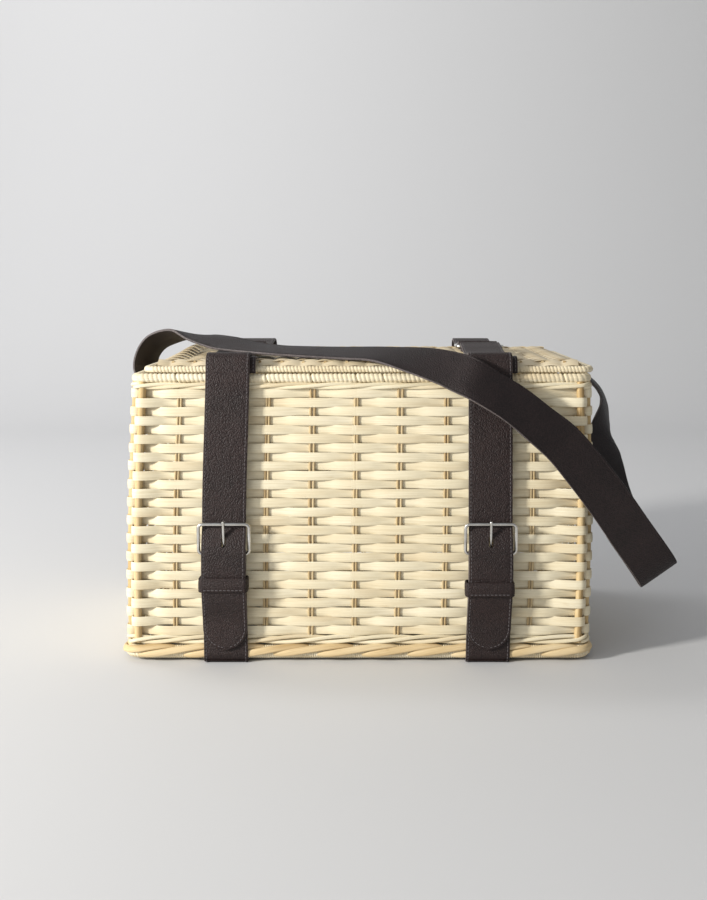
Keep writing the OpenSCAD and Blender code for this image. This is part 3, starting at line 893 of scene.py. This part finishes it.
def front_strap(side, x):
    """From the ring on the lid, over the lid's front edge, through buckle and keeper to the round tip."""
    ring_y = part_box(side + "_lid_ring")[0].y + WIRE
    top = BELT_TOP
    mesh, threads = Mesh(), Mesh()
    points = [(ring_y - 24 * MM, top - FOLD_R + 0.2 * MM), (ring_y - 8 * MM, top - FOLD_R)]
    points += arc_points((ring_y, top), FOLD_R, -90, 90, 7)
    points += [(ring_y - 9 * MM, top + 1.7 * MM), (ring_y - 25 * MM, top + 0.2 * MM)]
    on_lid = [(-52, 1.7), (-68, 3.2), (-95, 3.6), (-112, 2.9), (-124, 1.3), (-131.5, 0.7), (-136.8, 1.9),
              (-139.7, 5.2), (-140.7, 11)]
    points += [(y * MM, top - below * MM) for y, below in on_lid]
    points += [(FOLD.y, top - 22 * MM), (FOLD.y, 200 * MM), (FOLD.y, HEEL.z + 30 * MM),
               (FOLD.y - 0.6 * MM, HEEL.z + 22 * MM), (BILLET_OUT + 1 * MM, HEEL.z + 8 * MM),
               (BILLET_OUT, HEEL.z + 1 * MM), (BILLET_OUT, 76 * MM), (BILLET_OUT + 0.3 * MM, 62 * MM),
               (TIP_Y - 0.6 * MM, 42 * MM), (TIP_Y, 30 * MM), (TIP_Y, TIP_Z)]
    path = leaning(side_path(x, points), side)
    band(mesh, threads, path, ACROSS_X, BELT_W, BELT_T, round_end=True, stitch_from=36 * MM)
    prong_slot = ((x, BILLET_OUT, HEEL.z + 11.8 * MM), (4.2 * MM, 30 * MM, 10 * MM))
    piece = leather_piece(mesh, threads, side + "_front_strap", None,
                          [side + "_front_lid_strap", side + "_billet"], slots=[prong_slot])
    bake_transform(piece)


def body_belt(side, x):
    """The buckle end: folded round the heel bar and sewn down, then down the front and under the base."""
    mesh, threads = Mesh(), Mesh()
    inner = [(-BELT_Y - BELT_T, HEEL.z - 30 * MM), (-BELT_Y - BELT_T - 0.1 * MM, HEEL.z - 10 * MM)]
    bar = arc_points((HEEL.y, HEEL.z), FOLD_R, 180, 0, 8)
    down = [(-BELT_Y, HEEL.z - 12 * MM), (-BELT_Y, 60 * MM), (-BELT_Y, 20 * MM), (-BELT_Y, 8 * MM)]
    r = 7 * MM
    low = BELT_T / 2
    under = arc_points((-BELT_Y + r, low + r), r, 190, 270, 5)
    under += [(-60 * MM, low), (60 * MM, low)]
    under += arc_points((BELT_Y - r, low + r), r, -90, 0, 5)
    path = leaning(side_path(x, inner + bar + down + under + [(BELT_Y, 14 * MM)]), side)
    band(mesh, threads, path, ACROSS_X, BELT_W, BELT_T, stitch_from=45 * MM)
    prong_slot = ((x, HEEL.y, HEEL.z + 1 * MM), (5 * MM, 16 * MM, 12 * MM))
    leather_piece(mesh, threads, side + "_belt_leather", "basket", [side + "_belt"], slots=[prong_slot])


def rear_strap(side, x):
    """Up the back, over the hinge and along the lid to the ring."""
    mesh, threads = Mesh(), Mesh()
    ring_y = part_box(side + "_lid_ring")[1].y - WIRE
    top = BELT_TOP
    points = [(BELT_Y, z * MM) for z in (8, 60, 150, 235, 256)]
    points += [(BELT_Y - 0.5 * MM, 265 * MM), (BELT_Y - 3.2 * MM, top - 5.5 * MM),
               (BELT_Y - 9 * MM, top - 0.6 * MM), (BELT_Y - 18 * MM, top + 1.1 * MM),
               (BELT_Y - 34 * MM, top + 0.2 * MM), (BELT_Y - 52 * MM, top - 2.0 * MM),
               (62 * MM, top - 2.6 * MM), (ring_y + 30 * MM, top - 0.1 * MM),
               (ring_y + 9 * MM, top + 1.7 * MM)]
    points += arc_points((ring_y, top), FOLD_R, 90, 270, 7)
    points += [(ring_y + 8 * MM, top - FOLD_R), (ring_y + 24 * MM, top - FOLD_R + 0.2 * MM)]
    path = leaning(side_path(x, points), side)
    band(mesh, threads, path, ACROSS_X, BELT_W, BELT_T, stitch_to=distances(path)[-1] - 36 * MM)
    piece = leather_piece(mesh, threads, side + "_rear_strap", None, [side + "_rear_lid_strap"])
    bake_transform(piece)


def keeper(side, x):
    """The band that holds the strap's end flat."""
    drop = KEEPER_SHIFT[side]
    low, high = [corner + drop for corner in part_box(side + "_keeper")]
    t = 2 * MM
    r = 2.2 * MM
    hx = (high.x - low.x) / 2 - t / 2
    hy = (high.y - low.y) / 2 - t / 2
    count = 90
    s = np.arange(count) * loop_length(hx, hy, r) / count
    point, normal = loop_at(s, hx, hy, r)
    path = point + np.array(((low.x + high.x) / 2, (low.y + high.y) / 2, (low.z + high.z) / 2))
    path[:, 1] -= 0.5 * MM * np.cos(math.pi * np.clip(point[:, 0] / hx, -1, 1) / 2) * (normal[:, 1] < -0.5)
    h = (high.z - low.z) / 2
    face = [(0, 0), (0.7, 0.5), (1.0, 1.2), (0.8, 2.2), (1.05, 3)]
    section = [(out, -h + inset * MM) for out, inset in face]
    section += [(1.1, 0)]
    section += [(out, h - inset * MM) for out, inset in face[::-1]]
    section += [(-0.8, h - 0.7 * MM), (-1, 0), (-0.8, -h + 0.7 * MM)]
    section = np.array(section)
    section[:, 0] *= t / 2
    mesh, threads = Mesh(), Mesh()
    mesh.sweep(path, normal, UP, section, True)
    for d in np.arange(1, 11) * 3.6 * MM - 19.8 * MM:
        place = np.array([x + drop.x + d, low.y - 0.35 * MM, low.z + 2.2 * MM])
        stitch(threads, place, ACROSS_X, np.array([0, -1.0, 0]))
    leather_piece(mesh, threads, side + "_keeper_band", "basket", [side + "_keeper"])


def saddle(side):
    """A wider leather tongue under the belt, over the lid's front edge."""
    mesh, threads = Mesh(), Mesh()
    low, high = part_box(side + "_lid_saddle")
    on_lid = [(-112, 5.4), (-121, 4.6), (-128, 3.7), (-133.6, 4.6), (-136.6, 8.5)]
    points = [(y * MM, BELT_TOP - below * MM) for y, below in on_lid]
    points += [(-137.2 * MM, LID_Z + 2 * MM), (-136.9 * MM, LID_Z - 2.6 * MM)]
    path = side_path((low.x + high.x) / 2 + 1 * MM + LEAN[side][0], points, 1.6 * MM)
    band(mesh, threads, path, ACROSS_X, high.x - low.x, 1.8 * MM)
    leather_piece(mesh, threads, side + "_edge_saddle", "lid", [side + "_lid_saddle"])


def hinge_band(side):
    """A leather loop that ties the lid's rear roll to the rim."""
    low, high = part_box(side + "_hinge_loop")
    x = (low.x + high.x) / 2
    a = np.array([LID_Y, LID_ROLL_Z])
    b = np.array([HALF_Y, RIM_Z])
    r = 5.6 * MM
    down = (b - a) / np.linalg.norm(b - a)
    heading = math.degrees(math.atan2(down[1], down[0]))
    points = arc_points(b, r, heading - 90, heading + 90, 12)
    points += arc_points(a, r, heading + 90, heading + 270, 12)
    path = np.array([(x, y, z) for y, z in points])
    out = unit(np.cross(tangents(path, closed=True), ACROSS_X))
    h = (high.x - low.x) / 2
    t = 0.8 * MM
    section = np.array([(0, -h), (t * 0.8, -h + 0.4 * MM), (t, -h + 2 * MM), (t, h - 2 * MM),
                        (t * 0.8, h - 0.4 * MM), (0, h), (-t * 0.8, h - 0.5 * MM), (-t, 0),
                        (-t * 0.8, -h + 0.5 * MM)])
    mesh = Mesh()
    mesh.sweep(path, out, ACROSS_X, section, True)
    leather_piece(mesh, None, side + "_hinge_band", "basket", [side + "_hinge_loop"])


# The shoulder strap's way, in mm: its middle, and the direction across it towards its rear edge.
STRAP_ROUTE = [
    (-214.5, 0, 238, 0, 1, 0),
    (-218, 0, 247, 0.2, 1, 0),
    (-222, 0, 256, 0.42, 0.9, 0),
    (-221.5, -1.5, 267, 0.43, 0.9, -0.05),
    (-215.5, -5, 278, 0.38, 0.88, -0.2),
    (-206, -10, 286, 0.33, 0.88, -0.3),
    (-192, -18, 291.5, 0.3, 0.88, -0.28),
    (-177.5, -28, 293.5, 0.3, 0.9, -0.18),
    (-160, -42, 290.6, 0.35, 0.9, 0.08),
    (-137.5, -58, 286.4, 0.3, 0.93, 0.22),
    (-122, -68, 284.0, 0.3, 0.93, 0.2),
    (-104, -76, 281.9, 0.3, 0.93, 0.15),
    (-82, -86, 280.2, 0.25, 0.93, 0.13),
    (-58, -93, 279.3, 0.2, 0.95, 0.15),
    (-20, -103, 278.5, 0.15, 0.95, 0.19),
    (18, -115, 278, 0.1, 0.95, 0.26),
    (53, -133, 273.2, 0, 0.83, 0.52),
    (80, -148.2, 266.6, 0.04, 0.7, 0.71),
    (98, -158.6, 259.3, 0.1, 0.56, 0.82),
    (116, -162.5, 249, 0.25, 0.56, 0.78),
    (137, -162.5, 236, 0.45, 0.52, 0.7),
    (160, -163, 217.5, 0.6, 0.45, 0.62),
    (180, -162, 200.5, 0.7, 0.3, 0.6),
    (200, -160, 177, 0.78, 0.2, 0.56),
    (220, -157, 151, 0.82, 0.12, 0.55),
    (241, -153, 121, 0.82, 0.06, 0.56),
    (259, -148, 96, 0.82, 0.02, 0.57),
    (268, -141, 83, 0.82, 0, 0.57),
    (270, -132, 79, 0.82, 0, 0.57),
    (267, -124, 84, 0.82, 0.02, 0.57),
    (258, -115, 98, 0.82, 0.06, 0.56),
    (246, -104, 116, 0.82, 0.15, 0.55),
    (239, -92, 132, 0.8, 0.3, 0.53),
    (235, -78, 150, 0.76, 0.45, 0.48),
    (234, -62, 168, 0.72, 0.55, 0.42),
    (236, -47, 184, 0.6, 0.7, 0.3),
    (239.5, -31, 199, 0.42, 0.85, 0.2),
    (243, -16, 213, 0.28, 0.92, 0.1),
    (243, -6, 226, 0.22, 0.95, 0.05),
    (238, -1, 238, 0.2, 0.97, 0),
    (228, 0, 246.5, 0.2, 1, 0),
    (219, 0, 245, 0.1, 1, 0),
    (214.5, 0, 238, 0, 1, 0),
]


def shoulder_strap():
    """The strap and its two round-ended plates, which turn on the studs of the end walls. The direction
    across it counts as a length of 100 mm, so that its turns get points as close as its bends do."""
    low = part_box("left_strap_end")[0].z
    mid_x = (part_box("right_strap_end")[0].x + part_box("right_strap_end")[1].x) / 2
    high = low + 16 * MM
    left = [(-mid_x / MM, 0, z / MM, 0, 1, 0) for z in (low, high)]
    right = [(mid_x / MM, 0, z / MM, 0, 1, 0) for z in (high, low)]
    stations = np.array(left + STRAP_ROUTE + right, float)
    stations[:, 3:] *= 100
    fine = smooth_path(stations, 2.4)
    path = fine[:, :3] * MM
    across = unit(fine[:, 3:])
    mesh = Mesh()
    band(mesh, None, path, across, BELT_W, BELT_T, round_start=True, round_end=True)
    leather_piece(mesh, None, "carry_strap_leather", "carry_strap",
                  ["shoulder_strap", "left_strap_end", "right_strap_end"], SHADED_STRAP_LEATHER)


# ---- the stage ----

def stage():
    """A pale floor that curves up into a wall behind."""
    material, tree, shader = node_material("pale_floor")
    place = add(tree, "ShaderNodeTexCoord")
    parts = add(tree, "ShaderNodeSeparateXYZ")
    tree.links.new(place.outputs["Object"], parts.inputs["Vector"])
    across = ranged(tree, parts.outputs["X"], 0, 1, -1.6, 1.6)
    # Slightly darker towards the right: faint painted shade for the key light falling off across the floor
    # and wall.
    colour = ramp(tree, across, [(0.2, (0.66, 0.66, 0.665)), (0.8, (0.64, 0.64, 0.64))])
    tree.links.new(colour, shader.inputs["Base Color"])
    shader.inputs["Roughness"].default_value = 0.9
    curve_y = 1.6
    curve_r = 1.2
    outline = [(-4.0, 0.0), (curve_y, 0.0)]
    outline += [(curve_y + curve_r * math.sin(a), curve_r - curve_r * math.cos(a))
                for a in np.linspace(0.1, math.pi / 2, 14)]
    outline += [(curve_y + curve_r, 5.0)]
    verts = [(x, y, z) for x in (-6.0, 6.0) for y, z in outline]
    n = len(outline)
    faces = [[i, i + n, i + n + 1, i + 1] for i in range(n - 1)]
    floor = new_object("floor", verts, faces, [material])
    floor.data.polygons.foreach_set("use_smooth", [True] * len(faces))


def light(name, place, target, energy, size, colour=(1, 1, 1)):
    data = bpy.data.lights.new(name, "AREA")
    data.energy = energy
    data.color = colour
    data.size = size
    lamp = bpy.data.objects.new(name, data)
    lamp.location = place
    lamp.rotation_euler = (Vector(target) - Vector(place)).to_track_quat("-Z", "Y").to_euler()
    bpy.context.scene.collection.objects.link(lamp)


def lighting():
    """A dim sky, a small warm key light at the front left, a fill, and a lamp on the wall behind."""
    world = bpy.data.worlds.new("studio")
    world.use_nodes = True
    world.node_tree.nodes["Background"].inputs["Color"].default_value = (0.94, 0.96, 1.0, 1)
    world.node_tree.nodes["Background"].inputs["Strength"].default_value = 0.36
    bpy.context.scene.world = world
    light("key", (-1.95, -1.3, 0.9), (0, 0, 0.13), energy=71, size=0.3, colour=(1.0, 0.975, 0.93))
    light("backdrop_light", (-1.2, 0.7, 2.3), (-0.5, 2.8, 0.9), energy=31, size=1.5)
    light("fill", (-1.6, -2.2, 1.2), (0, 0, 0.15), energy=9, size=1.2)
    bpy.context.scene.view_settings.view_transform = "Standard"


def camera():
    """The photo's view: level, from a little above the lid, with the frame shifted down."""
    data = bpy.data.cameras.new("camera")
    data.sensor_width = 36
    data.lens = 48.4
    data.shift_x = -0.035
    data.shift_y = -0.1833
    view = bpy.data.objects.new("camera", data)
    view.location = (21.5 * MM, -1235 * MM, 342 * MM)
    view.rotation_euler = (math.radians(90), 0, 0)
    bpy.context.scene.collection.objects.link(view)
    bpy.context.scene.camera = view


camera()
stage()
lighting()
woven_walls()
wall_rods()
corner_rods()
waling("lower_wale", 15.5 * MM, WEAVE_LOW + 0.3 * MM, "lower_waling")
waling("upper_wale", WEAVE_HIGH - 0.3 * MM, RIM_Z - 3.5 * MM, "upper_waling")
rim()
foot()
base_panel()
lid_edge()
lid_panel()
for side in SIDES:
    belt_x = JOINTS[side + "_buckle_tilt"]["pos_m"][0]
    body_belt(side, belt_x)
    front_strap(side, belt_x)
    rear_strap(side, belt_x)
    keeper(side, belt_x)
    saddle(side)
    hinge_band(side)
shoulder_strap()
metal = ["strap_studs"] + [side + part for side in SIDES for part in ("_lid_ring", "_buckle", "_prong")]
for name in metal:
    for slot in frame["nodes"][name].material_slots:
        slot.material = NICKEL
